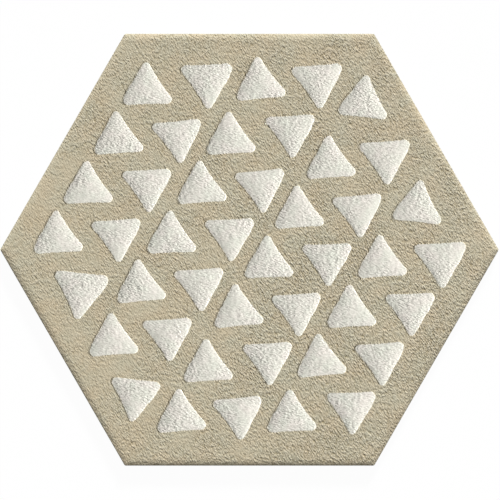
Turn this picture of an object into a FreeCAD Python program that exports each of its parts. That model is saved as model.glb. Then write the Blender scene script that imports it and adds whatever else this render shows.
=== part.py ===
import FreeCAD, Part
import math
import os

# Hexagon floor tile, pressed and fired as one body: a flat plate with a cushioned rim, low raised
# triangles in slanted lines on its face, and a grid of shallow pockets on its back.
# Millimetres. z = 0 is the plane that lies on the bed, +Z comes out of the face, and +X points at
# a corner of the hexagon, so that two of its sides run along X.

# Plate
across_flats = 254.0
field_height = 9.0        # from the bed to the field between the triangles
foot_chamfer = 0.8        # at the bottom edge of each side
tip_radius = 1.2          # of the hexagon's six corners, seen from above

# Rim, in section: a wide arc that leaves the field level, and a small one that ends upright
rim_width = 4.0
rim_radius = 7.5
arris_radius = 0.8

# Raised triangle, pointing up, about its own centre. Its outline is taken at its foot.
left_corner = (-16.2, -10.7)
right_corner = (19.7, -8.8)
apex = (-0.2, 18.8)
bottom_bulge = -0.6       # outwards at the middle of a side, so a negative one is hollow
right_bulge = -1.4
left_bulge = 0.7
corner_radius = 3.0
relief_height = 1.0       # from the field to the top of a triangle
wall_lean = 1.0           # how far a triangle's wall leans in on its way to the top
relief_root = 0.5         # how far a triangle's solid reaches down into the plate

# Layout of the triangles. A line runs down to the left, parallel to two of the tile's sides. The
# first four lines are given, and the other four are the same ones turned by half a turn about the
# pattern's centre, which makes the triangles that point up point down.
line_angle = 60.0
line_places = (-99.2, -70.4, -43.2, -14.1)   # across the lines, from the pattern's centre
line_starts = (-50.8, -73.4, -86.8, -105.7)  # along them, to the first triangle
# From each triangle to the next: along the line, and sideways across it
line_steps = (
    ((33.5, -0.4), (34.2, -0.7), (34.1, -0.8)),
    ((37.1, 1.3), (33.8, -1.0), (34.4, -0.9), (38.6, -2.4)),
    ((36.6, 0.9), (33.5, -0.3), (34.4, -0.7), (33.8, -1.3), (35.3, 1.8)),
    ((33.4, 1.1), (36.8, 0.8), (33.8, -1.3), (34.4, -0.8), (34.7, -1.4), (40.6, 0.8)),
)
# How far each triangle is turned, anticlockwise, its half-turned partner with it
line_turns = (
    (-1.5, 1.1, -1.1, 0.2),
    (-0.3, 2.7, 0.0, 0.8, -9.5),
    (2.5, 0.3, 0.9, -1.1, 2.3, 0.9),
    (1.5, 0.2, 2.5, -0.8, 1.0, 0.9, -9.5),
)
pattern_centre = (-0.5, 0.9)
# The triangles at some ends of lines are larger: line, place in it
larger = {(2, 1): 1.05, (2, 5): 1.10, (4, 1): 1.03, (6, 1): 1.03, (8, 1): 1.06}

# Back
pocket_pitch = 20.0
rib_width = 4.0
pocket_depth = 0.8
pocket_draft = 0.6        # how far each wall of a pocket leans in over its depth
back_border = 8.0         # plain band between the pockets and the tile's sides

apothem = across_flats / 2
corner_reach = apothem / math.cos(math.radians(30))
clear = 5.0               # by how much a tool body passes what it cuts


def vector(x, y, z=0.0):
    return FreeCAD.Vector(x, y, z)


def bulged(start, end, bulge):
    """An arc from start to end that stands out to the right of the way there by bulge."""
    along = end - start
    outwards = vector(along.y, -along.x).normalize()
    return Part.Arc(start, (start + end) / 2 + outwards * bulge, end).toShape()


def bar_section():
    """Section of the tile across one pair of sides, in the YZ plane."""
    sunk = rim_radius - arris_radius
    turn = math.asin((rim_width - arris_radius) / sunk)
    level = apothem - rim_width
    arris_height = field_height - rim_radius + sunk * math.cos(turn)
    half = (turn + math.pi / 2) / 2

    def on_rim(angle):
        return (level + rim_radius * math.sin(angle), field_height - rim_radius * (1 - math.cos(angle)))

    def on_arris(angle):
        centre = apothem - arris_radius
        return (centre + arris_radius * math.sin(angle), arris_height + arris_radius * math.cos(angle))

    foot = [(apothem - foot_chamfer, 0.0), (apothem, foot_chamfer), (apothem, arris_height)]

    def side(mirror):
        def at(point):
            return vector(0.0, mirror * point[0], point[1])

        return [
            Part.LineSegment(at(foot[0]), at(foot[1])).toShape(),
            Part.LineSegment(at(foot[1]), at(foot[2])).toShape(),
            Part.Arc(at(foot[2]), at(on_arris(half)), at(on_arris(turn))).toShape(),
            Part.Arc(at(on_rim(turn)), at(on_rim(turn / 2)), at(on_rim(0.0))).toShape(),
        ]

    face = Part.LineSegment(vector(0.0, level, field_height), vector(0.0, -level, field_height))
    bed = Part.LineSegment(vector(0.0, -foot[0][0], 0.0), vector(0.0, foot[0][0], 0.0))
    edges = side(1) + [face.toShape()] + side(-1)[::-1] + [bed.toShape()]
    return Part.Face(Part.Wire(Part.__sortEdges__(edges)))


def hexagon():
    """The tile's outline seen from above, with its tips rounded, as a block of its thickness."""
    turns = [math.radians(60 * corner) for corner in range(7)]
    corners = [vector(corner_reach * math.cos(a), corner_reach * math.sin(a)) for a in turns]
    outline = Part.Face(Part.makePolygon(corners))
    rounded = outline.makeOffset2D(-tip_radius).makeOffset2D(tip_radius)
    return rounded.extrude(vector(0, 0, field_height))


def plate():
    """The hexagon is where three rounded bars cross, which mitres the rim at its corners."""
    reach = corner_reach + clear
    bar = bar_section().extrude(vector(2 * reach, 0.0))
    bar.translate(vector(-reach, 0.0))
    crossed = hexagon()
    for turn in (0, 60, 120):
        other = bar.copy()
        other.rotate(vector(0, 0), vector(0, 0, 1), turn)
        crossed = crossed.common(other)
    return crossed.removeSplitter()


def raised_triangle(size):
    """One triangle that points up, at the pattern's centre, with leaning walls and a level top."""
    corners = [vector(x * size, y * size) for x, y in (left_corner, right_corner, apex)]
    bulges = (bottom_bulge, right_bulge, left_bulge)
    sides = [bulged(corners[i], corners[(i + 1) % 3], bulges[i] * size) for i in range(3)]
    radius = corner_radius * size
    outline = Part.Face(Part.Wire(sides)).makeOffset2D(-radius).makeOffset2D(radius)
    block = outline.extrude(vector(0, 0, relief_root + relief_height))
    block.translate(vector(0, 0, field_height - relief_root))
    top = max(block.Faces, key=lambda face: face.CenterOfMass.z)
    return block.makeChamfer(relief_height, wall_lean, top.Edges)


def layout():
    """Each triangle's line, place in the line, centre and turn from pointing up."""
    angle = math.radians(line_angle)
    along = vector(-math.cos(angle), -math.sin(angle))
    across = vector(math.sin(angle), -math.cos(angle))
    middle = vector(*pattern_centre)
    lines = len(line_places)
    for i in range(lines):
        forward, sideways = line_starts[i], line_places[i]
        centres = [along * forward + across * sideways]
        for step, drift in line_steps[i]:
            forward += step
            sideways += drift
            centres.append(along * forward + across * sideways)
        half_turn = 180.0 * (i % 2)
        for j, centre in enumerate(centres):
            turn = line_turns[i][j] + half_turn
            yield i + 1, j + 1, middle + centre, turn
            yield 2 * lines - i, len(centres) - j, middle - centre, turn + 180.0


def relief():
    """All the raised triangles, each in its place."""
    by_size = {}
    placed = []
    for line, place, centre, turn in layout():
        size = larger.get((line, place), 1.0)
        if size not in by_size:
            by_size[size] = raised_triangle(size)
        triangle = by_size[size].copy()
        triangle.rotate(vector(0, 0), vector(0, 0, 1), turn)
        triangle.translate(centre)
        placed.append(triangle)
    return placed


def pocket():
    """One square pocket of the back, at the origin, narrower at its floor than at its mouth."""
    mouth = (pocket_pitch - rib_width) / 2
    below = mouth + clear * pocket_draft / pocket_depth
    floor = mouth - pocket_draft
    cut = Part.makeWedge(
        -below, -clear, -below, -floor, -floor,
        below, pocket_depth, below, floor, floor,
    )
    cut.rotate(vector(0, 0), vector(1, 0, 0), 90)
    return cut


def inside_border(x, y):
    """Whether a point lies on the part of the back that the pockets may take."""
    limit = apothem - back_border
    normals = [math.radians(30 + 60 * side) for side in range(6)]
    return all(x * math.cos(a) + y * math.sin(a) <= limit for a in normals)


def back_pockets():
    """The pockets on a square grid, as far as whole ones fit inside the border."""
    half = (pocket_pitch - rib_width) / 2
    count = math.ceil(corner_reach / pocket_pitch)
    single = pocket()
    cuts = []
    for i in range(-count, count):
        for j in range(-count, count):
            x, y = (i + 0.5) * pocket_pitch, (j + 0.5) * pocket_pitch
            corners = [(x + a * half, y + b * half) for a in (-1, 1) for b in (-1, 1)]
            if all(inside_border(*corner) for corner in corners):
                cut = single.copy()
                cut.translate(vector(x, y))
                cuts.append(cut)
    return cuts


tile = plate().cut(back_pockets()).fuse(relief()).removeSplitter()
if tile.ShapeType == "Compound":
    tile = tile.Solids[0]

os.makedirs("parts", exist_ok=True)
tile.exportStep("parts/hexagon_tile.step")
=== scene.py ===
"""Looks of the hexagon floor tile: sanded face, cushioned rim, white triangles, pocketed back.

The tile lies on its back at the origin, with +Z out of its face and +X towards a corner, as the
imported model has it. The plate is one closed mesh, and the triangles that point up and down are two
more. All are computed as whole arrays from the tile's few sizes, in metres.
"""

import logging
import math
from dataclasses import dataclass
from enum import Enum
from functools import cached_property

import bpy
import numpy as np
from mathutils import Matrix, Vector
from mathutils.geometry import delaunay_2d_cdt

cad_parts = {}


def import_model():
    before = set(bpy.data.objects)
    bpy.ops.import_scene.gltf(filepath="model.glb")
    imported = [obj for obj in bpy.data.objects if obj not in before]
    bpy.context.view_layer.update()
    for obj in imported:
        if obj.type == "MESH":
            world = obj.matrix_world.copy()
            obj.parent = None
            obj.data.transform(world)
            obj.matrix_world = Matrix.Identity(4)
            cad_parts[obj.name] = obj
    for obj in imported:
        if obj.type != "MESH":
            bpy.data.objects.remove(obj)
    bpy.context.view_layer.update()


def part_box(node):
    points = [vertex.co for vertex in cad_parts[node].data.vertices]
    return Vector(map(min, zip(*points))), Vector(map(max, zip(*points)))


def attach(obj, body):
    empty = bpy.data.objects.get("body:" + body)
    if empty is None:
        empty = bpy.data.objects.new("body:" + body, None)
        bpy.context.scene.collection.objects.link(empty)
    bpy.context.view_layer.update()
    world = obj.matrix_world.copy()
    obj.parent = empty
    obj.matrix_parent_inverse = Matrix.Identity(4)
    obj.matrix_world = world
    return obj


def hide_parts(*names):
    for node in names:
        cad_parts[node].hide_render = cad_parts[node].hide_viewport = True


MM = 0.001
NODE = "hexagon_tile"
BODY = "root"
PHOTO_PIXELS = 500
RELIEF_HEIGHT = 1.0 * MM
# No raised triangle reaches further than this from its centre
NEAR = 27.0 * MM
# From a hexagon's middle to a side, as a share of the way to a corner
SIDE_SHARE = math.cos(math.radians(30))
UNIT = (0.0, 1.0)
WHITE = (1.0, 1.0, 1.0)
# The corners of a square of half-width 1
SQUARE = np.array([[-1.0, -1.0], [1.0, -1.0], [1.0, 1.0], [-1.0, 1.0]])
LOG = logging.getLogger("hexagon_tile")

Pair = tuple[float, float]
Colour = tuple[float, float, float]
Array = np.ndarray
Piece = bpy.types.Object
Finish = bpy.types.Material
Socket = bpy.types.NodeSocket
Inputs = dict[str | int, float | tuple[float, ...] | Socket]


class Coat(Enum):
    """Names of the record's material slots for the finishes; nothing here gives them to a piece."""

    SANDED_BODY = "sanded_body"
    WHITE_GLAZE = "white_glaze"


class Skin(Enum):
    """Which finish a face of the plate shows, by its place in the mesh's material list."""

    FACE = 0
    BARE = 1


class Pointing(Enum):
    """Which way a raised triangle points, as degrees turned from pointing up."""

    UP = 0.0
    DOWN = 180.0


def turned(points: Array, angle: float) -> Array:
    """Places of the plane, one a row, turned anticlockwise about the origin by some radians."""
    c, s = math.cos(angle), math.sin(angle)
    return points @ np.array([[c, s], [-s, c]])


def crossed(first: Array, second: Array) -> Array:
    """The cross product of directions in the plane, positive where the second is to the left."""
    return first[..., 0] * second[..., 1] - first[..., 1] * second[..., 0]


def at_height(places: Array, height: float | Array) -> Array:
    """Places of the plane, one a row, lifted to a height."""
    return np.column_stack([places, np.broadcast_to(height, len(places))])


def smooth_step(band: Pair, values: Array) -> Array:
    """A share that rises from 0 at the band's first value to 1 at its second, along 3t^2 - 2t^3."""
    t = np.clip((values - band[0]) / (band[1] - band[0]), 0.0, 1.0)
    return t * t * (3.0 - 2.0 * t)


def side_normals() -> Array:
    """The outward normals of the tile's six sides, one a column."""
    facing = np.radians(30 + 60 * np.arange(6))
    return np.stack([np.cos(facing), np.sin(facing)])


def make_piece(
    name: str, points: Array, triangles: Array, smooth: Array, materials: list[Finish],
    skins: Array | None = None, **attributes: Array,
) -> Piece:
    """Puts arrays into a new mesh object at the origin.

    Args:
        name: The piece's name.
        points: Corners in metres, one a row.
        triangles: Three corner numbers a row, anticlockwise seen from outside.
        smooth: Whether each triangle is shaded smooth.
        materials: The mesh's material list.
        skins: Each triangle's place in that list, or all 0 when left out.
        attributes: Named values, one for each corner, for the materials to read.

    Returns:
        The object, linked to the scene.
    """
    mesh = bpy.data.meshes.new(name)
    mesh.vertices.add(len(points))
    mesh.vertices.foreach_set("co", points.astype(np.float32).ravel())
    mesh.loops.add(triangles.size)
    mesh.loops.foreach_set("vertex_index", triangles.astype(np.int32).ravel())
    mesh.polygons.add(len(triangles))
    mesh.polygons.foreach_set("loop_start", np.arange(0, triangles.size, 3, dtype=np.int32))
    mesh.polygons.foreach_set("use_smooth", smooth.astype(bool))
    for material in materials:
        mesh.materials.append(material)
    if skins is not None:
        mesh.polygons.foreach_set("material_index", skins.astype(np.int32))
    for key, values in attributes.items():
        layer = mesh.attributes.new(key, "FLOAT", "POINT")
        layer.data.foreach_set("value", values.astype(np.float32))
    mesh.update(calc_edges=True)
    mesh.validate()
    piece = bpy.data.objects.new(name, mesh)
    bpy.context.scene.collection.objects.link(piece)
    return piece


def fill_plane(points: Array, edges: Array) -> Array:
    """Fills closed loops of a plane with triangles between their own corners.

    Args:
        points: Places in the plane, one a row.
        edges: Two corner numbers a row, that together make closed loops.

    Returns:
        Three corner numbers a row, anticlockwise.
    """
    used, renumbered = np.unique(edges, return_inverse=True)
    flat = [Vector((float(x), float(y))) for x, y in points[used]]
    pairs = [tuple(pair) for pair in renumbered.reshape(edges.shape).tolist()]
    inside_loops = 1
    _, _, faces, sources, _, _ = delaunay_2d_cdt(flat, pairs, [], inside_loops, 1e-9)
    original = np.array([source[0] for source in sources])
    return used[original[np.array(faces)]]


def strip(first: Array, second: Array) -> Array:
    """Joins two closed rows of as many corners with two triangles for each step.

    Args:
        first: Corner numbers of one row, anticlockwise seen from outside.
        second: Corner numbers of the row above it.

    Returns:
        Three corner numbers a row, with outward normals.
    """
    ahead_first, ahead_second = np.roll(first, -1), np.roll(second, -1)
    lower = np.stack([first, ahead_first, ahead_second], axis=1)
    upper = np.stack([first, ahead_second, second], axis=1)
    return np.concatenate([lower, upper])


@dataclass(frozen=True)
class GrainSheet:
    """A repeating sheet of random relief with bumps of about one size, drawn out in one direction.

    White noise is filtered so that the strength of each wave falls off as a bell curve of the
    logarithm of its length, centred on the wavelength across the streaks, and on one longer by the
    stretch along them.
    """

    wavelength: float
    spread: float
    seed: int
    stretch: float = 1.0
    streaks: float = 0.0
    extent: float = 307.2 * MM
    cells: int = 1024

    @cached_property
    def heights(self) -> Array:
        """Filters the noise.

        Returns:
            The sheet, with mean 0 and deviation 1.
        """
        noise = np.random.default_rng(self.seed).standard_normal((self.cells, self.cells))
        waves = np.fft.fftfreq(self.cells, self.extent / self.cells)
        x, y = np.meshgrid(waves, waves, indexing="ij")
        c, s = math.cos(self.streaks), math.sin(self.streaks)
        length = np.hypot((x * c + y * s) * self.stretch, y * c - x * s)
        length[0, 0] = 1e-9
        bell = np.exp(-0.5 * (np.log(length * self.wavelength) / self.spread) ** 2)
        bell[0, 0] = 0.0
        sheet = np.fft.ifft2(np.fft.fft2(noise) * bell).real
        return (sheet - sheet.mean()) / sheet.std()

    def at(self, points: Array) -> Array:
        """Reads the sheet between its cells, in proportion to the distance from the four around.

        Args:
            points: Places in the plane, one a row.

        Returns:
            The height at each place, in deviations.
        """
        column, row = points.T / (self.extent / self.cells)
        i, j = np.floor(column).astype(int), np.floor(row).astype(int)
        u, v = column - i, row - j
        i0, j0, i1, j1 = (number % self.cells for number in (i, j, i + 1, j + 1))
        near = self.heights[i0, j0] * (1 - u) + self.heights[i1, j0] * u
        far = self.heights[i0, j1] * (1 - u) + self.heights[i1, j1] * u
        return near * (1 - v) + far * v


@dataclass(frozen=True)
class TriangleOutline:
    """The foot outline of a raised triangle that points up, about its own centre.

    Each side is an arc, and each corner is rounded by a circle that touches both of its sides. A
    point of any arc is its centre plus its radius times the outward normal, so a hollow side is an
    arc of negative radius. The left side also sways in and out once, by the sine of a whole turn
    times the squared sine of half a turn. Places are about the triangle's centre, one a row.
    """

    corners: tuple[Pair, Pair, Pair] = (
        (-16.2 * MM, -10.7 * MM),
        (19.7 * MM, -8.8 * MM),
        (-0.2 * MM, 18.8 * MM),
    )
    bulges: tuple[float, float, float] = (-0.6 * MM, -1.4 * MM, 0.7 * MM)
    corner_radii: tuple[float, float, float] = (3.5 * MM, 3.2 * MM, 2.6 * MM)
    swaying_side: int = 2
    sway: float = 0.34 * MM
    sway_from: float = 0.24
    sway_to: float = 0.86
    side_steps: int = 42
    corner_steps: int = 18

    @cached_property
    def sides(self) -> list[tuple[Array, float]]:
        """Bends each side: with chord c and bulge b, its radius is (c^2 / 4 + b^2) / 2b.

        Returns:
            The centre and the signed radius of each side, from the bottom one on, anticlockwise.
        """
        found = []
        for i, bulge in enumerate(self.bulges):
            start, end = np.array(self.corners[i]), np.array(self.corners[(i + 1) % 3])
            along = end - start
            chord = np.hypot(*along)
            outwards = np.array([along[1], -along[0]]) / chord
            radius = (chord ** 2 / 4 + bulge ** 2) / (2 * bulge)
            found.append(((start + end) / 2 + outwards * (bulge - radius), radius))
        return found

    @cached_property
    def roundings(self) -> list[tuple[Array, float]]:
        """Finds where two sides, each drawn in by their corner's radius, cross next to it.

        Returns:
            The centre and the radius of each corner's rounding, from the left one on.
        """
        found = []
        for i, (corner, radius) in enumerate(zip(self.corners, self.corner_radii)):
            (c0, r0), (c1, r1) = self.sides[i - 1], self.sides[i]
            r0, r1 = abs(r0 - radius), abs(r1 - radius)
            between = c1 - c0
            apart = np.hypot(*between)
            unit = between / apart
            along = (r0 ** 2 - r1 ** 2 + apart ** 2) / (2 * apart)
            off = np.array([-unit[1], unit[0]]) * math.sqrt(r0 ** 2 - along ** 2)
            crossings = [c0 + unit * along + off * sign for sign in (-1, 1)]
            centre = min(crossings, key=lambda point: np.hypot(*(point - corner)))
            found.append((centre, radius))
        return found

    def normal_at(self, side: int, corner: int) -> Array:
        """The outward normal where a side meets the rounding of a corner."""
        pointing = (self.roundings[corner][0] - self.sides[side][0]) * np.sign(self.sides[side][1])
        return pointing / np.hypot(*pointing)

    def swayed(self, points: Array) -> Array:
        """How far the swaying side stands out from its arc.

        Args:
            points: Places beside it.

        Returns:
            The distance outwards, next to each place.
        """
        start = np.array(self.corners[self.swaying_side])
        along = np.array(self.corners[(self.swaying_side + 1) % 3]) - start
        share = (points - start) @ along / (along @ along)
        turn = np.clip((share - self.sway_from) / (self.sway_to - self.sway_from), 0.0, 1.0)
        return -self.sway * np.sin(2 * math.pi * turn) * np.sin(math.pi * turn) ** 2

    @cached_property
    def ring(self) -> tuple[Array, Array]:
        """Walks once round, at even angles along each rounding and each side.

        Returns:
            The points and their outward normals, anticlockwise from the left corner's rounding.
        """
        points, normals = [], []
        for i in range(3):
            rounding = (*self.roundings[i], (i - 1, i), (i, i), self.corner_steps)
            side = (*self.sides[i], (i, i), (i, (i + 1) % 3), self.side_steps)
            for centre, radius, first, second, steps in (rounding, side):
                begin, end = self.normal_at(*first), self.normal_at(*second)
                swept = math.atan2(crossed(begin, end), begin @ end)
                angle = math.atan2(begin[1], begin[0]) + np.arange(steps) / steps * swept
                normals.append(np.stack([np.cos(angle), np.sin(angle)], axis=1))
                points.append(centre + radius * normals[-1])
            if i == self.swaying_side:
                points[-1] = points[-1] + normals[-1] * self.swayed(points[-1])[:, None]
        return np.concatenate(points), np.concatenate(normals)

    def beside(self, points: Array) -> Array:
        """How far places lie outside each of the three sides.

        Args:
            points: The places.

        Returns:
            One row of distances for each side, negative inside.
        """
        rows = [np.sign(r) * (np.hypot(*(points - c).T) - abs(r)) for c, r in self.sides]
        rows[self.swaying_side] = rows[self.swaying_side] - self.swayed(points)
        return np.array(rows)

    def before_tips(self, points: Array) -> Array:
        """How far places lie in from the lines that touch the three roundings at their tips.

        Args:
            points: The places.

        Returns:
            One row of distances for each corner, positive inside.
        """
        rows = []
        for i, (centre, radius) in enumerate(self.roundings):
            pointing = self.normal_at(i - 1, i) + self.normal_at(i, i)
            rows.append(radius - (points - centre) @ pointing / np.hypot(*pointing))
        return np.array(rows)

    def distance(self, points: Array) -> Array:
        """How far places lie outside the outline.

        Beside a side it is the distance from the side's arc. In the wedge between the normals at
        the two ends of a corner's rounding, it is the distance from the rounding's circle.

        Args:
            points: The places.

        Returns:
            The distance, negative inside.
        """
        far = self.beside(points).max(axis=0)
        for i, (centre, radius) in enumerate(self.roundings):
            away = points - centre
            past_first = crossed(self.normal_at(i - 1, i), away) > 0
            before_last = crossed(away, self.normal_at(i, i)) > 0
            far = np.where(past_first & before_last, np.hypot(*away.T) - radius, far)
        return far


@dataclass(frozen=True)
class Placing:
    """Where a raised triangle stands, which way it points, its turn in radians and its size."""

    centre: Pair
    pointing: Pointing
    turn: float
    size: float

    def local(self, points: Array) -> Array:
        """Places of the plane as the triangle itself would have them, pointing up at size 1."""
        return turned(points - np.array(self.centre), -self.turn) / self.size

    def placed(self, points: Array) -> Array:
        """Places of the triangle itself, turned, sized and moved to where it stands."""
        return turned(points * self.size, self.turn) + np.array(self.centre)


@dataclass(frozen=True)
class TriangleLayout:
    """The triangles in slanted lines that run down to the left, parallel to two sides of the tile.

    Half of the lines are given, in millimetres and degrees. The others are the same ones turned by
    half a turn about the pattern's centre, which makes the triangles that point up point down.
    """

    line_angle: float = 60.0
    pattern_centre: Pair = (-0.5, 0.9)
    line_places: tuple[float, ...] = (-99.2, -70.4, -43.2, -14.1)
    line_starts: tuple[float, ...] = (-50.8, -73.4, -86.8, -105.7)
    line_steps: tuple[tuple[Pair, ...], ...] = (
        ((33.5, -0.4), (34.2, -0.7), (34.1, -0.8)),
        ((37.1, 1.3), (33.8, -1.0), (34.4, -0.9), (38.6, -2.4)),
        ((36.6, 0.9), (33.5, -0.3), (34.4, -0.7), (33.8, -1.3), (35.3, 1.8)),
        ((33.4, 1.1), (36.8, 0.8), (33.8, -1.3), (34.4, -0.8), (34.7, -1.4), (40.6, 0.8)),
    )
    line_turns: tuple[tuple[float, ...], ...] = (
        (-1.5, 1.1, -1.1, 0.2),
        (-0.3, 2.7, 0.0, 0.8, -9.5),
        (2.5, 0.3, 0.9, -1.1, 2.3, 0.9),
        (1.5, 0.2, 2.5, -0.8, 1.0, 0.9, -9.5),
    )
    larger: tuple[tuple[int, int, float], ...] = (
        (2, 1, 1.05), (2, 5, 1.10), (4, 1, 1.03), (6, 1, 1.03), (8, 1, 1.06),
    )

    def placings(self) -> list[Placing]:
        """Walks each line by its steps, and turns each triangle found into its partner.

        Returns:
            The placing of every triangle, in metres and radians.
        """
        slope = math.radians(self.line_angle)
        along = -np.array([math.cos(slope), math.sin(slope)])
        across = np.array([math.sin(slope), -math.cos(slope)])
        middle = np.array(self.pattern_centre)
        sizes = {(line, place): size for line, place, size in self.larger}
        lines = 2 * len(self.line_places)
        ways = (Pointing.UP, Pointing.DOWN)
        found = []
        for i, steps in enumerate(self.line_steps):
            start = np.array([[self.line_starts[i], self.line_places[i]]])
            walked = np.cumsum(np.concatenate([start, np.array(steps)]), axis=0)
            centres = walked @ np.stack([along, across])
            for j, (centre, turn) in enumerate(zip(centres, self.line_turns[i])):
                for key, place, way in (
                    ((i + 1, j + 1), middle + centre, ways[i % 2]),
                    ((lines - i, len(centres) - j), middle - centre, ways[1 - i % 2]),
                ):
                    angle = math.radians(turn + way.value)
                    found.append(Placing(tuple(place * MM), way, angle, sizes.get(key, 1.0)))
        return found


def inside_triangles(outline: TriangleOutline, placings: list[Placing], points: Array) -> Array:
    """How far places lie inside the nearest raised triangle.

    Args:
        outline: The triangles' outline.
        placings: The triangles.
        points: Places in the plane, one a row.

    Returns:
        The distance, negative outside and never below the least that counts as near.
    """
    inside = np.full(len(points), -NEAR)
    for placing in placings:
        near = np.hypot(*(points - np.array(placing.centre)).T) < NEAR
        away = outline.distance(placing.local(points[near])) * placing.size
        inside[near] = np.maximum(inside[near], -away)
    return inside


@dataclass(frozen=True)
class GlazePrint:
    """Where the white glaze lies: inside the triangles' outline, printed a little off its place."""

    outline: TriangleOutline
    drawn_in: float = 0.5 * MM
    offset: Pair = (0.41 * MM, -0.09 * MM)

    def covering(self, placings: list[Placing], points: Array) -> Array:
        """How many millimetres places of the plane lie inside the glaze, negative outside it."""
        shifted = points - np.array(self.offset)
        return (inside_triangles(self.outline, placings, shifted) - self.drawn_in) / MM


@dataclass(frozen=True)
class RimSection:
    """The rim in section: a wide arc, level at the field, then a small one that ends upright."""

    width: float = 4.0 * MM
    radius: float = 7.5 * MM
    arris_radius: float = 0.8 * MM
    wide_steps: int = 7
    arris_steps: int = 4

    @property
    def meeting(self) -> float:
        """The angle from upright at which the wide arc passes into the small one."""
        return math.asin((self.width - self.arris_radius) / (self.radius - self.arris_radius))

    def insets(self) -> Array:
        """Takes even angles along both arcs.

        Returns:
            Distances in from the tile's side, going outwards.
        """
        wide = np.linspace(0.0, self.meeting, self.wide_steps + 1)[1:]
        small = np.linspace(self.meeting, math.pi / 2, self.arris_steps + 1)[1:]
        on_wide = self.width - self.radius * np.sin(wide)
        return np.concatenate([on_wide, self.arris_radius * (1 - np.sin(small))])

    def drop(self, inset: Array) -> Array:
        """How far the rim lies below the field.

        On the wide arc of radius R the drop is R (1 - cos a), where R sin a is how far out from the
        field's edge it is. On the small one, which is tangent to it, the angle is from upright too.

        Args:
            inset: Distances in from the tile's side.

        Returns:
            The drop at each.
        """
        out = np.clip(self.width - inset, 0.0, self.radius * math.sin(self.meeting))
        wide = self.radius - np.sqrt(self.radius ** 2 - out ** 2)
        across = self.arris_radius - inset
        rise = np.sqrt(np.clip(self.arris_radius ** 2 - across ** 2, 0.0, None))
        centre = self.radius - (self.radius - self.arris_radius) * math.cos(self.meeting)
        on_small = inset < self.width - self.radius * math.sin(self.meeting)
        return np.where(on_small, centre - rise, wide)


@dataclass(frozen=True)
class BackPockets:
    """The square pockets of the back, on a grid, as far as whole ones fit inside a plain border."""

    pitch: float = 20.0 * MM
    rib_width: float = 4.0 * MM
    depth: float = 0.8 * MM
    draft: float = 0.6 * MM
    border: float = 8.0 * MM

    @property
    def half_mouth(self) -> float:
        """Half the width of a pocket at its mouth."""
        return (self.pitch - self.rib_width) / 2

    def centres(self, apothem: float) -> Array:
        """Finds the places of the grid whose pocket lies inside the border on all six sides.

        Args:
            apothem: From the tile's centre to its sides.

        Returns:
            The pockets' centres, one a row.
        """
        count = math.ceil(2 * apothem / self.pitch)
        line = (np.arange(-count, count) + 0.5) * self.pitch
        grid = np.stack(np.meshgrid(line, line, indexing="ij"), axis=-1).reshape(-1, 2)
        reach = self.half_mouth * np.abs(side_normals()).sum(axis=0)
        return grid[(grid @ side_normals() + reach <= apothem - self.border).all(axis=1)]

    def squares(self, apothem: float) -> tuple[Array, Array]:
        """Lays out every mouth and every floor.

        Args:
            apothem: From the tile's centre to its sides.

        Returns:
            Two arrays of pockets by four corners by two coordinates, anticlockwise from above.
        """
        centres = self.centres(apothem)[:, None, :]
        mouths = centres + SQUARE * self.half_mouth
        return mouths, centres + SQUARE * (self.half_mouth - self.draft)


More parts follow.
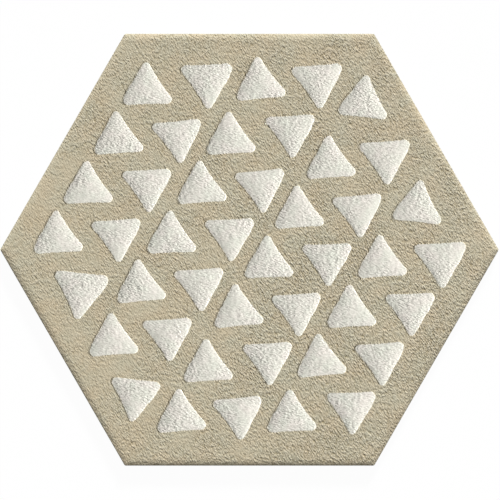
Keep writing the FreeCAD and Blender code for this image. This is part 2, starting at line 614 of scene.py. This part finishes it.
@dataclass
class Plate:
    """The pressed plate: sanded field, cushioned rim, upright sides and pocketed back, in one mesh.

    The field is a lattice of rings, each a hexagon with one more step a side than the last. The rim
    and the sides are rows with as many steps as the outermost ring. The bands are the distances
    over which the sand is calmed beside a triangle's foot and the tile's edge, and sinks under a
    triangle, where a few large faces take the lattice's place.
    """

    apothem: float
    field_height: float
    rim: RimSection = RimSection()
    pockets: BackPockets = BackPockets()
    rings: int = 190
    tip_radius: float = 1.2 * MM
    foot_chamfer: float = 0.8 * MM
    grain: GrainSheet = GrainSheet(2.4 * MM, 0.45, 11, stretch=1.8, streaks=math.radians(118))
    softness: GrainSheet = GrainSheet(26.0 * MM, 0.5, 12)
    grain_height: float = 0.06 * MM
    patchiness: float = 0.15
    slant: float = 0.35
    swing: Pair = (0.35, 1.6)
    calmest: float = 0.35
    foot_band: Pair = (0.0, 1.0 * MM)
    edge_band: Pair = (0.2 * MM, 1.6 * MM)
    sinking_band: Pair = (0.3 * MM, 0.9 * MM)
    sunk: float = 0.25 * MM
    opened: float = 1.2 * MM

    def ring_of(self, steps: int, inset: float) -> Array:
        """A hexagon with a corner on +X, as points at even steps along its sides.

        Args:
            steps: Steps along each side.
            inset: How far its sides lie in from the tile's.

        Returns:
            The points, anticlockwise, one a row.
        """
        angles = np.radians(60 * np.arange(7))
        reach = (self.apothem - inset) / SIDE_SHARE
        corners = np.stack([np.cos(angles), np.sin(angles)], axis=1) * reach
        share = (np.arange(steps) / steps)[None, :, None]
        sides = corners[:-1, None, :] * (1 - share) + corners[1:, None, :] * share
        return sides.reshape(-1, 2)

    def edge_ring(self, inset: float) -> Array:
        """A row of the rim or the sides, drawn in near the six tips to the circle that rounds each.

        Args:
            inset: How far its sides lie in from the tile's.

        Returns:
            The points, anticlockwise, one a row.
        """
        points = self.ring_of(self.rings, inset)
        sixth = math.radians(60)
        nearest = np.round(np.arctan2(points[:, 1], points[:, 0]) / sixth) * sixth
        outwards = np.stack([np.cos(nearest), np.sin(nearest)], axis=1)
        centres = (self.apothem - self.tip_radius) / SIDE_SHARE * outwards
        away = points - centres
        length = np.hypot(*away.T)
        in_wedge = (away * outwards).sum(axis=1) > length * SIDE_SHARE
        pulled = in_wedge & (length > self.tip_radius)
        shrink = np.where(pulled, self.tip_radius / np.maximum(length, 1e-9), 1.0)
        return centres + away * shrink[:, None]

    def lattice(self) -> tuple[Array, Array]:
        """Lays the field's rings about the centre, each joined to the next one out.

        Returns:
            The points in the plane and the triangles between them, anticlockwise.
        """
        spacing = (self.apothem - self.rim.width) / self.rings
        rows = [self.ring_of(k, self.apothem - k * spacing) for k in range(1, self.rings + 1)]
        points = np.concatenate([np.zeros((1, 2)), *rows])
        spans = (np.arange(1, self.rings + 1), np.arange(6), np.arange(self.rings))
        k, s, j = np.meshgrid(*spans, indexing="ij")

        def number(ring: Array, sector: Array, step: Array) -> Array:
            """The number of a ring's point, or of the centre for ring 0."""
            first = np.where(ring > 0, 1 + 3 * ring * (ring - 1), 0)
            return first + (sector * ring + step) % np.where(ring > 0, 6 * ring, 1)

        here, ahead, inner, inner_ahead = (
            number(k, s, j), number(k, s, j + 1), number(k - 1, s, j), number(k - 1, s, j + 1),
        )
        pointing_in = np.stack([here, ahead, inner], axis=-1)
        pointing_out = np.stack([inner, ahead, inner_ahead], axis=-1)
        return points, np.concatenate([pointing_in[j < k], pointing_out[j < k - 1]])

    def open_pads(self, points: Array, triangles: Array, inside: Array) -> Array:
        """Puts a few large triangles in place of the lattice where a raised triangle hides it.

        Args:
            points: The lattice's points.
            triangles: The lattice's triangles.
            inside: How far each point lies inside a raised triangle.

        Returns:
            The triangles that are kept and the large ones.
        """
        hidden = (inside[triangles] > self.opened).all(axis=1)
        gone = triangles[hidden]
        edges = np.concatenate([gone[:, [0, 1]], gone[:, [1, 2]], gone[:, [2, 0]]])
        there = edges[:, 0] * len(points) + edges[:, 1]
        back = edges[:, 1] * len(points) + edges[:, 0]
        border = edges[~np.isin(there, back)]
        return np.concatenate([triangles[~hidden], fill_plane(points, border)])

    def face_heights(self, points: Array, inside: Array, in_field: Array) -> tuple[Array, Array]:
        """The face's heights: the field less the rim's drop, plus the sand.

        The sand is the grain sheet, softer in patches and towards -X, and calmed in the bands. On
        the rim it stays below the field.

        Args:
            points: Places in the plane, one a row.
            inside: How far each lies inside a raised triangle.
            in_field: Whether each belongs to the field's lattice.

        Returns:
            The height at each place, and the sand's alone.
        """
        inset = self.apothem - (points @ side_normals()).max(axis=1)
        covered = smooth_step(self.sinking_band, inside)
        open_share = smooth_step(self.foot_band, -inside) * smooth_step(self.edge_band, inset)
        patches = 1.0 + self.patchiness * self.softness.at(points)
        slanted = 1.0 + self.slant * points[:, 0] / self.apothem
        sand = self.grain_height * self.grain.at(points) * np.clip(patches * slanted, *self.swing)
        sand = sand * (self.calmest + (1 - self.calmest) * open_share) * (1 - covered)
        drop = self.rim.drop(inset)
        sand = np.where(in_field, sand, np.minimum(sand, drop))
        return self.field_height - drop + sand - self.sunk * covered, sand

    def build(self, placings: list[Placing], glaze: GlazePrint, materials: list[Finish]) -> Piece:
        """Builds the plate's mesh.

        Args:
            placings: The raised triangles, which hide parts of the field.
            glaze: Where the white glaze lies.
            materials: The finishes of the face and of the bare body.

        Returns:
            The piece.
        """
        flat, face = self.lattice()
        face = self.open_pads(flat, face, inside_triangles(glaze.outline, placings, flat))
        insets = self.rim.insets()
        top = np.concatenate([flat, *(self.edge_ring(inset) for inset in insets)])
        inside = inside_triangles(glaze.outline, placings, top)
        heights, sand = self.face_heights(top, inside, np.arange(len(top)) < len(flat))

        around = 6 * self.rings
        side_top = heights[-around:]
        mouths, floors = self.pockets.squares(self.apothem)
        points = np.concatenate([
            at_height(top, heights),
            at_height(self.edge_ring(0.0), side_top / 2 + self.foot_chamfer / 2),
            at_height(self.edge_ring(0.0), self.foot_chamfer),
            at_height(self.edge_ring(self.foot_chamfer), 0.0),
            at_height(mouths.reshape(-1, 2), 0.0),
            at_height(floors.reshape(-1, 2), self.pockets.depth),
        ])
        side_rows = 3
        rows = np.arange(around * (1 + len(insets) + side_rows)).reshape(-1, around)
        rows = rows + len(flat) - around
        bands = [strip(below, above) for above, below in zip(rows[:-1], rows[1:])]
        corners = np.arange(mouths.size // 2).reshape(-1, 4) + rows[-1, -1] + 1
        back = self.back(points, rows[-1], corners, corners + corners.size)

        triangles = np.concatenate([face, *bands, back])
        order = np.arange(len(triangles))
        fronts = len(face) + sum(len(band) for band in bands[:len(insets)])
        upright = sum(len(band) for band in bands[len(insets):-1])
        grain, glazed = np.zeros(len(points)), np.full(len(points), -NEAR / MM)
        grain[:len(top)] = sand / self.grain_height
        glazed[:len(top)] = glaze.covering(placings, top)
        used, renumbered = np.unique(triangles, return_inverse=True)
        skins = np.where(order < fronts, Skin.FACE.value, Skin.BARE.value)
        piece = make_piece(
            "tile_body", points[used], renumbered.reshape(triangles.shape),
            order < fronts + upright, materials, skins, grain=grain[used], glaze=glazed[used],
        )
        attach(piece, BODY)
        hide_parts(NODE)
        return piece

    def back(self, points: Array, outer: Array, mouth: Array, floor: Array) -> Array:
        """The back's ribs and border, the pockets' walls and their floors.

        Args:
            points: All points of the plate.
            outer: Corner numbers of the back's outer row.
            mouth: Corner numbers of each pocket's mouth.
            floor: Corner numbers of each pocket's floor.

        Returns:
            The triangles, with outward normals, which point down.
        """
        border = np.stack([outer, np.roll(outer, -1)], axis=1)
        squares = np.stack([mouth, np.roll(mouth, -1, axis=1)], axis=2).reshape(-1, 2)
        plain = fill_plane(points[:, :2], np.concatenate([border, squares]))
        centre = points[plain, :2].mean(axis=1)
        middle = points[mouth, :2].mean(axis=1)
        over = np.abs(centre[:, None, :] - middle[None, :, :]).max(axis=2).min(axis=1)
        plain = plain[over > self.pockets.half_mouth][:, ::-1]
        walls = []
        for i in range(4):
            a, b, c, d = mouth[:, i], mouth[:, (i + 1) % 4], floor[:, (i + 1) % 4], floor[:, i]
            walls += [np.stack([a, c, b], axis=1), np.stack([a, d, c], axis=1)]
        return np.concatenate([plain, *walls, floor[:, [0, 2, 1]], floor[:, [0, 3, 2]]])


@dataclass
class RaisedTriangles:
    """The raised triangles: low pillows that rise from a leaning wall, with finely wrinkled tops.

    Each is a grid of rings. The first rings follow the outline at a growing distance in from the
    foot, and the others shrink from there to the centre.
    """

    field_height: float
    outline: TriangleOutline = TriangleOutline()
    pillow_slope: float = 0.155
    side_shares: tuple[float, float, float] = (0.2, 1.0, 1.0)
    tip_share: float = 0.25
    wall_width: float = 0.5 * MM
    wall_slope: float = 0.105
    shoulder_width: float = 0.3 * MM
    sunk: float = 0.03 * MM
    root: float = 0.3 * MM
    wall_rings: int = 5
    shoulder_rings: int = 3
    top_rings: int = 16
    wrinkle: GrainSheet = GrainSheet(1.9 * MM, 0.3, 21, stretch=3.0, streaks=math.radians(170))
    wave: GrainSheet = GrainSheet(6.0 * MM, 0.4, 22)
    wrinkle_height: float = 0.0105 * MM
    wave_height: float = 0.015 * MM
    wrinkle_band: Pair = (0.1 * MM, 1.2 * MM)

    def pillow(self, points: Array) -> Array:
        """The pillow's height.

        It is the slope divided by a sum, over the sides and the lines that touch the rounded tips,
        of a share divided by the distance to it. So it rises evenly from a side, the more steeply
        the smaller its share, and makes a round back instead of a ridge between two sides.

        Args:
            points: Places about the triangle's centre, one a row.

        Returns:
            The height at each.
        """
        away = np.concatenate([-self.outline.beside(points), self.outline.before_tips(points)])
        shares = np.array([*self.side_shares, *(3 * (self.tip_share,))])
        return self.pillow_slope / (shares[:, None] / np.maximum(away, 1e-3 * MM)).sum(axis=0)

    def wall(self, inset: Array) -> Array:
        """What the wall adds to the pillow: an even rise that ends over the shoulder.

        Args:
            inset: Distances in from the foot.

        Returns:
            The height at each, where the slope falls evenly to 0 over the shoulder's width.
        """
        over = np.clip(inset - self.wall_width, 0.0, self.shoulder_width)
        under = np.minimum(inset, self.wall_width)
        return self.wall_slope * (under + over - over ** 2 / (2 * self.shoulder_width))

    def one(self, placing: Placing) -> tuple[Array, Array, Array]:
        """Builds one triangle.

        Args:
            placing: Where it stands.

        Returns:
            Its points in metres, its faces, and its wrinkle at each point.
        """
        foot, normals = self.outline.ring
        around = len(foot)
        wall = np.linspace(0.0, self.wall_width, self.wall_rings + 1)
        over = np.linspace(0.0, self.shoulder_width, self.shoulder_rings + 1)[1:]
        insets = np.concatenate([[0.0], wall, self.wall_width + over])
        outer = foot - normals * insets[:, None, None]
        shares = 1.0 - np.arange(1, self.top_rings) / self.top_rings
        rings = np.concatenate([outer, outer[-1] * shares[:, None, None]])
        flat = np.concatenate([rings.reshape(-1, 2), np.zeros((2, 2))])
        inset = np.maximum(-self.outline.distance(flat), 0.0)
        placed = placing.placed(flat)
        share = smooth_step(self.wrinkle_band, inset)
        wrinkles = self.wrinkle.at(placed) * share
        levels = self.pillow(flat) + self.wall(inset) - self.sunk
        levels += self.wrinkle_height * wrinkles + self.wave_height * self.wave.at(placed) * share
        levels[:around] = levels[-1] = -self.root
        rows = np.arange(len(rings) * around).reshape(len(rings), around)
        top, bottom = np.full(around, len(flat) - 2), np.full(around, len(flat) - 1)
        faces = [strip(below, above) for below, above in zip(rows[:-1], rows[1:])]
        faces.append(np.stack([rows[-1], np.roll(rows[-1], -1), top], axis=1))
        faces.append(np.stack([np.roll(rows[0], -1), rows[0], bottom], axis=1))
        heights = np.minimum(self.field_height + levels, self.field_height + RELIEF_HEIGHT)
        return at_height(placed, heights), np.concatenate(faces), wrinkles

    def build(
        self, placings: list[Placing], pointing: Pointing, glaze: GlazePrint, material: Finish
    ) -> Piece:
        """Builds all the triangles that point one way as one joined mesh.

        Args:
            placings: Where each triangle of the tile stands.
            pointing: Which of them are built.
            glaze: Where the white glaze lies.
            material: Their finish.

        Returns:
            The piece.
        """
        chosen = [placing for placing in placings if placing.pointing is pointing]
        blocks, faces, wrinkles = zip(*(self.one(placing) for placing in chosen))
        points = np.concatenate(blocks)
        starts = np.arange(len(chosen))[:, None, None] * len(blocks[0])
        triangles = (np.array(faces) + starts).reshape(-1, 3)
        piece = make_piece(
            f"triangles_{pointing.name.lower()}", points, triangles, np.ones(len(triangles)),
            [material], grain=np.concatenate(wrinkles), glaze=glaze.covering(chosen, points[:, :2]),
        )
        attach(piece, BODY)
        return piece


def fill_inputs(node: bpy.types.Node, inputs: Inputs) -> bpy.types.Node:
    """Gives a node's inputs their values or links.

    Args:
        node: The node.
        inputs: A number, three numbers or another node's output for each, by name or place.

    Returns:
        The same node.
    """
    for key, value in inputs.items():
        socket = node.inputs[key]
        if isinstance(value, Socket):
            node.id_data.links.new(value, socket)
        else:
            socket.default_value = (*value, 1.0) if socket.type == "RGBA" else value
    return node


def add_node(
    tree: bpy.types.NodeTree, kind: str, inputs: Inputs | None = None, **settings: str
) -> bpy.types.Node:
    """Adds a node to a material or to the world.

    Args:
        tree: The nodes that it joins.
        kind: Its type, without the words that all shading nodes begin with.
        inputs: What its inputs get.
        settings: Its own settings.

    Returns:
        The node.
    """
    node = tree.nodes.new(f"ShaderNode{kind}")
    for key, value in settings.items():
        setattr(node, key, value)
    return fill_inputs(node, inputs or {})


def reckon(tree: bpy.types.NodeTree, how: str, first: Socket, second: float | Socket) -> Socket:
    """Two values brought together by a sum, a product or another operation."""
    return add_node(tree, "Math", {0: first, 1: second}, operation=how).outputs[0]


@dataclass(frozen=True)
class Cloud:
    """A cloudy noise: the width of its largest features, the number of finer layers and their
    strength, and the span of its values that becomes the result.
    """

    size: float
    detail: float = 2.0
    roughness: float = 0.5
    span: Pair = UNIT
    result: Pair = UNIT


class NodeSheet:
    """A material's nodes, added and wired in a few words."""

    def __init__(self, name: str) -> None:
        """Starts a material with a shader and an output.

        Args:
            name: The material's name.
        """
        self.material = bpy.data.materials.new(name)
        self.material.use_nodes = True
        self.tree = self.material.node_tree
        self.place = add_node(self.tree, "TexCoord").outputs["Object"]

    def streaked(self, angle: float, stretch: float) -> Socket:
        """The object's places, drawn out so that a pattern gets streaks at an angle from +X."""
        inputs = {"Vector": self.place, "Rotation": (0.0, 0.0, angle), "Scale": (stretch, 1.0, 1.0)}
        return add_node(self.tree, "Mapping", inputs, vector_type="TEXTURE").outputs["Vector"]

    def ranged(self, value: Socket, span: Pair, result: Pair = UNIT) -> Socket:
        """A value with a span of it mapped to the result, and held at the ends."""
        ends = zip(("From Min", "From Max", "To Min", "To Max"), (*span, *result))
        return add_node(self.tree, "MapRange", {"Value": value, **dict(ends)}).outputs["Result"]

    def cloud(self, cloud: Cloud, place: Socket | None = None) -> Socket:
        """Cloudy noise over the object, or over other places.

        Args:
            cloud: The noise.
            place: Where it is read, or the object's own places when left out.

        Returns:
            Its value, mapped to the cloud's result.
        """
        noise = add_node(self.tree, "TexNoise", {
            "Vector": place or self.place, "Scale": 1.0 / cloud.size,
            "Detail": cloud.detail, "Roughness": cloud.roughness,
        })
        return self.ranged(noise.outputs["Fac"], cloud.span, cloud.result)

    def pebbles(self, size: float, smoothness: float, place: Socket) -> Socket:
        """How far below the tops of round bumps about a size apart a place is, from 0 to 1."""
        inputs = {"Vector": place, "Scale": 1.0 / size, "Smoothness": smoothness}
        settings = {"voronoi_dimensions": "2D", "feature": "SMOOTH_F1"}
        return add_node(self.tree, "TexVoronoi", inputs, **settings).outputs["Distance"]

    def along(self, axis: str) -> Socket:
        """The object's place along one axis, in metres."""
        return add_node(self.tree, "SeparateXYZ", {0: self.place}).outputs[axis]

    def attribute(self, name: str) -> Socket:
        """A value that the mesh holds at its corners."""
        return add_node(self.tree, "Attribute", attribute_name=name).outputs["Fac"]

    def added(self, first: Socket, second: Socket) -> Socket:
        """The sum of two values."""
        return reckon(self.tree, "ADD", first, second)

    def times(self, first: Socket, second: Socket) -> Socket:
        """The product of two values."""
        return reckon(self.tree, "MULTIPLY", first, second)

    def blend(
        self, share: float | Socket, first: Colour | Socket, second: Colour | Socket,
        mode: str = "MIX",
    ) -> Socket:
        """Mixes two colours.

        Args:
            share: How much of the second shows.
            first: A colour.
            second: A colour.
            mode: How the second acts on the first.

        Returns:
            The mixed colour.
        """
        node = add_node(self.tree, "Mix", {0: share}, data_type="RGBA", blend_type=mode)
        first_colour, second_colour, mixed = 6, 7, 2
        return fill_inputs(node, {first_colour: first, second_colour: second}).outputs[mixed]

    def dress(self, colour: Socket, height: Socket, roughness: float, gloss: float) -> Finish:
        """Gives the shader its colour, its fine relief and its sheen.

        Args:
            colour: The colour.
            height: The height of the relief in millimetres.
            roughness: How widely the surface scatters what it reflects.
            gloss: How much it reflects.

        Returns:
            The finished material.
        """
        bump = add_node(self.tree, "Bump", {"Height": height, "Distance": MM})
        fill_inputs(self.tree.nodes["Principled BSDF"], {
            "Base Color": colour, "Normal": bump.outputs["Normal"],
            "Roughness": roughness, "Specular IOR Level": gloss,
        })
        return self.material


@dataclass(frozen=True)
class SandCoat:
    """Matt beige sand: pale crests, dark hollows partly in painted shade, bolder towards +X, slow
    drifts of tone.
    """

    # crest and hollow: the grains' own tone, plus painted light on crests and painted shade in
    # hollows, from the bump's noise
    crest: Colour = (0.662, 0.602, 0.460)
    hollow: Colour = (0.402, 0.340, 0.214)
    warm: Colour = (1.035, 1.0, 0.975)
    cool: Colour = (0.965, 1.0, 1.020)
    streaks: float = math.radians(115)
    stretch: float = 1.9
    grain: Cloud = Cloud(0.72 * MM, 2.0, 0.6, result=(-0.35, 0.35))
    pebble: float = 1.0 * MM
    pebble_smoothness: float = 0.3
    pebble_swing: Pair = (0.10, -0.16)
    depth: float = 1.20
    reach: Pair = (-147 * MM, 147 * MM)
    bolder: Pair = (0.70, 1.44)
    paler: Pair = (0.0, 0.035)
    patches: Cloud = Cloud(21 * MM, 2.0, span=(0.3, 0.7), result=(0.55, 1.45))
    tones: Cloud = Cloud(14 * MM, 3.0, result=(-0.06, 0.06))
    drift: Cloud = Cloud(13 * MM, 4.0, 0.6, span=(0.35, 0.65))
    # coarse_span and the swing after it: painted shade and light following the mesh's sand, darker
    # where lower, paler where higher
    coarse_span: Pair = (-3.0, 3.0)
    coarse_shade_swing: Pair = (-0.06, 0.06)
    colour_span: Pair = (-0.25, 0.25)

    def texture(self, sheet: NodeSheet) -> Socket:
        """The sand's grain: fine streaked noise and pebbles, bolder in patches and towards +X.

        Args:
            sheet: The nodes it is added to.

        Returns:
            Its value, negative in hollows and positive on crests, mostly within 0.2 of 0.
        """
        place = sheet.streaked(self.streaks, self.stretch)
        noise = sheet.cloud(self.grain, place)
        pebbles = sheet.pebbles(self.pebble, self.pebble_smoothness, place)
        bumps = sheet.ranged(pebbles, UNIT, self.pebble_swing)
        across = sheet.ranged(sheet.along("X"), self.reach, self.bolder)
        bolder = sheet.times(across, sheet.cloud(self.patches))
        return sheet.times(sheet.added(noise, bumps), bolder)

    def colour(self, sheet: NodeSheet, grain: Socket) -> Socket:
        """The sand's colour: the grains' own tone, with painted shade in the hollows and painted
        light on the crests.

        Args:
            sheet: The nodes it is added to.
            grain: The sand's grain.

        Returns:
            The colour.
        """
        # Painted shade from the mesh's sand: lower places darker, higher places paler
        coarse = sheet.ranged(sheet.attribute("grain"), self.coarse_span, self.coarse_shade_swing)
        across = sheet.ranged(sheet.along("X"), self.reach, self.paler)
        tone = sheet.added(across, sheet.cloud(self.tones))
        # Painted shade and light: the grain's hollows turn darker and its crests paler, beyond the
        # sand's own tone
        crests = sheet.added(sheet.added(grain, coarse), tone)
        sand = sheet.blend(sheet.ranged(crests, self.colour_span), self.hollow, self.crest)
        drift = sheet.blend(sheet.cloud(self.drift), self.warm, self.cool)
        return sheet.blend(1.0, sand, drift, "MULTIPLY")


@dataclass(frozen=True)
class WhiteCoat:
    """Matt off-white glaze: faint cream and grey clouds, and fine wrinkles with hollows in painted
    shade.
    """

    cream: Colour = (0.832, 0.781, 0.712)
    grey: Colour = (0.770, 0.771, 0.678)
    # The colour of the painted shade in the wrinkles' hollows
    hollow: Colour = (0.510, 0.495, 0.434)
    streaks: float = math.radians(168)
    stretch: float = 2.4
    grain: Cloud = Cloud(0.72 * MM, 2.0, result=(-0.5, 0.5))
    depth: float = 0.335
    patches: Cloud = Cloud(17 * MM, 1.0, span=(0.3, 0.7), result=(0.45, 1.55))
    clouds: Cloud = Cloud(9 * MM, 3.0, 0.6, span=(0.35, 0.65))
    # The span of the wrinkle value over which painted shade darkens the hollows, and how strongly
    shade_span: Pair = (-0.22, 0.1)
    hollow_shade: Pair = (0.8, 0.0)

    def texture(self, sheet: NodeSheet) -> Socket:
        """The wrinkles: fine streaked noise in patches, mostly from -0.2 in hollows to 0.2."""
        wrinkles = sheet.cloud(self.grain, sheet.streaked(self.streaks, self.stretch))
        return sheet.times(wrinkles, sheet.cloud(self.patches))

    def colour(self, sheet: NodeSheet, grain: Socket) -> Socket:
        """The glaze's colour, with painted shade where its wrinkles are hollow."""
        glaze = sheet.blend(sheet.cloud(self.clouds), self.grey, self.cream)
        # Painted shade: the wrinkles' hollows are darkened towards the hollow colour
        return sheet.blend(sheet.ranged(grain, self.shade_span, self.hollow_shade), glaze, self.hollow)


@dataclass(frozen=True)
class FaceFinish:
    """The tile's face: sand, and white glaze where the print covers it, its edge wavering."""

    sand: SandCoat = SandCoat()
    white: WhiteCoat = WhiteCoat()
    roughness: float = 0.8
    gloss: float = 0.25
    waver: Cloud = Cloud(2.2 * MM, 2.0, span=(0.2, 0.8), result=(-0.3, 0.3))
    edge: Pair = (-0.22, 0.22)

    def material(self) -> Finish:
        """Builds the finish from the glaze attribute, the millimetres inside the glaze's edge.

        Returns:
            The material.
        """
        sheet = NodeSheet("tile_face")
        inside = sheet.added(sheet.attribute("glaze"), sheet.cloud(self.waver))
        covered = sheet.ranged(inside, self.edge)
        sand, wrinkles = self.sand.texture(sheet), self.white.texture(sheet)
        body, glaze = self.sand.colour(sheet, sand), self.white.colour(sheet, wrinkles)
        deep = sheet.ranged(covered, UNIT, (self.sand.depth, 0.0))
        fine = sheet.ranged(covered, UNIT, (0.0, self.white.depth))
        height = sheet.added(sheet.times(sand, deep), sheet.times(wrinkles, fine))
        return sheet.dress(sheet.blend(covered, body, glaze), height, self.roughness, self.gloss)


@dataclass(frozen=True)
class BareFinish:
    """The bare fired body of the sides and the back: even, matt, a little darker than the sand."""

    pale: Colour = (0.47, 0.42, 0.32)
    dark: Colour = (0.40, 0.35, 0.26)
    roughness: float = 0.82
    gloss: float = 0.3
    clouds: Cloud = Cloud(9 * MM, 4.0, 0.6, span=(0.3, 0.7))
    grain: Cloud = Cloud(0.8 * MM, 3.0, result=(0.0, 0.12))

    def material(self) -> Finish:
        """Builds the finish.

        Returns:
            The material.
        """
        sheet = NodeSheet("bare_body")
        colour = sheet.blend(sheet.cloud(self.clouds), self.dark, self.pale)
        return sheet.dress(colour, sheet.cloud(self.grain), self.roughness, self.gloss)


@dataclass(frozen=True)
class SoftSun:
    """A broad distant light. Its angles, in degrees, are where it stands, seen from the tile."""

    name: str
    azimuth: float
    elevation: float
    level: float
    width: float

    def place(self, lit: list[Piece]) -> None:
        """Adds the light to the scene, at the strength that gives a level surface its level.

        Args:
            lit: The pieces it falls on.
        """
        data = bpy.data.lights.new(self.name, "SUN")
        a, e = math.radians(self.azimuth), math.radians(self.elevation)
        data.energy = self.level * math.pi / math.sin(e)
        data.angle = math.radians(self.width)
        light = bpy.data.objects.new(self.name, data)
        towards = Vector((math.cos(e) * math.cos(a), math.cos(e) * math.sin(a), math.sin(e)))
        light.rotation_mode = "QUATERNION"
        light.rotation_quaternion = towards.to_track_quat("Z", "Y")
        light.location = towards
        bpy.context.scene.collection.objects.link(light)
        receivers = bpy.data.collections.new(f"{self.name}_falls_on")
        for piece in lit:
            receivers.objects.link(piece)
        light.light_linking.receiver_collection = receivers


@dataclass
class Studio:
    """Pale floor, white surroundings, soft lights and the camera straight above the tile."""

    apothem: float
    face_height: float
    lens: float = 500.0
    sensor: float = 36.0
    clipping: Pair = (0.01, 20.0)
    tile_pixels: float = 432.0
    tile_middle: Pair = (249.47, 249.72)
    surroundings: float = 0.2
    white_seen: float = 0.97
    floor_reach: float = 4.0
    floor_colour: Colour = (0.93, 0.93, 0.93)
    floor_roughness: float = 0.9
    floor_gloss: float = 0.1
    triangle_light: SoftSun = SoftSun("side_light", 3.0, 15.0, 0.8, 8.0)
    body_light: SoftSun = SoftSun("upper_light", 75.0, 30.0, 0.8, 12.0)

    def white_to_camera(self, tree: bpy.types.NodeTree, lit: Socket) -> Socket:
        """Mixes plain white into what the camera, gloss and glass see of the floor.

        Args:
            tree: The nodes of the floor's material.
            lit: The floor's own shading, which keeps the tile's shadow.

        Returns:
            The mixed shading.
        """
        path = add_node(tree, "LightPath").outputs
        seen = path["Is Camera Ray"]
        for other in ("Is Glossy Ray", "Is Transmission Ray"):
            seen = reckon(tree, "MAXIMUM", seen, path[other])
        part = reckon(tree, "MULTIPLY", seen, self.white_seen)
        white = add_node(tree, "Emission").outputs[0]
        return add_node(tree, "MixShader", {0: part, 1: lit, 2: white}).outputs[0]

    def floor(self) -> Piece:
        """Adds the plain pale floor that the tile lies on.

        Returns:
            The floor.
        """
        corners = SQUARE * self.floor_reach
        triangles = np.array([[0, 1, 2], [0, 2, 3]])
        material = bpy.data.materials.new("pale_floor")
        material.use_nodes = True
        tree = material.node_tree
        shader = fill_inputs(tree.nodes["Principled BSDF"], {
            "Base Color": self.floor_colour, "Roughness": self.floor_roughness,
            "Specular IOR Level": self.floor_gloss,
        })
        shown = self.white_to_camera(tree, shader.outputs[0])
        fill_inputs(tree.nodes["Material Output"], {"Surface": shown})
        plane = make_piece("floor", at_height(corners, 0.0), triangles, np.zeros(2), [material])
        return plane

    def world(self) -> None:
        """Lights the tile from all round, and shows plain white to the camera."""
        world = bpy.data.worlds.new("surroundings")
        world.use_nodes = True
        bpy.context.scene.world = world
        tree = world.node_tree
        light = tree.nodes["Background"]
        fill_inputs(light, {"Color": WHITE, "Strength": self.surroundings})
        white = add_node(tree, "Background", {"Color": WHITE})
        seen = add_node(tree, "LightPath").outputs["Is Camera Ray"]
        mix = add_node(tree, "MixShader", {0: seen, 1: light.outputs[0], 2: white.outputs[0]})
        fill_inputs(tree.nodes["World Output"], {"Surface": mix.outputs[0]})

    def camera(self) -> None:
        """Adds the camera, so far up that the tile spans as many pixels as in the photo."""
        pixel = 2 * self.apothem / self.tile_pixels
        distance = PHOTO_PIXELS * pixel * self.lens / self.sensor
        data = bpy.data.cameras.new("camera")
        data.lens = self.lens
        data.sensor_width = self.sensor
        data.clip_start, data.clip_end = self.clipping
        camera = bpy.data.objects.new("camera", data)
        aside = (PHOTO_PIXELS / 2 - self.tile_middle[0]) * pixel
        down = (self.tile_middle[1] - PHOTO_PIXELS / 2) * pixel
        camera.location = (aside, down, self.face_height + distance)
        bpy.context.scene.collection.objects.link(camera)
        bpy.context.scene.camera = camera

    def build(self, body: Piece, triangles: list[Piece]) -> None:
        """Sets up everything around the tile.

        Args:
            body: The plate.
            triangles: The pieces with the raised triangles.
        """
        self.body_light.place([body, self.floor()])
        self.triangle_light.place(triangles)
        self.world()
        self.camera()
        bpy.context.scene.view_settings.view_transform = "Standard"


def report(piece: Piece) -> Piece:
    """Logs a finished piece's name and how many triangles it has, and hands it on."""
    LOG.info("%s: %d triangles", piece.name, len(piece.data.polygons))
    return piece


def main() -> None:
    """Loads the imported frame, then builds the plate, the raised triangles and the studio."""
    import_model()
    low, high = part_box(NODE)
    apothem = (high.y - low.y) / 2
    field_height = high.z - RELIEF_HEIGHT

    placings = TriangleLayout().placings()
    raised = RaisedTriangles(field_height)
    glaze = GlazePrint(raised.outline)
    face = FaceFinish().material()
    plate = Plate(apothem, field_height)
    body = report(plate.build(placings, glaze, [face, BareFinish().material()]))
    triangles = [report(raised.build(placings, way, glaze, face)) for way in Pointing]
    Studio(apothem, field_height).build(body, triangles)


if __name__ == "__main__":
    logging.basicConfig(level=logging.INFO, format="%(message)s")
    main()
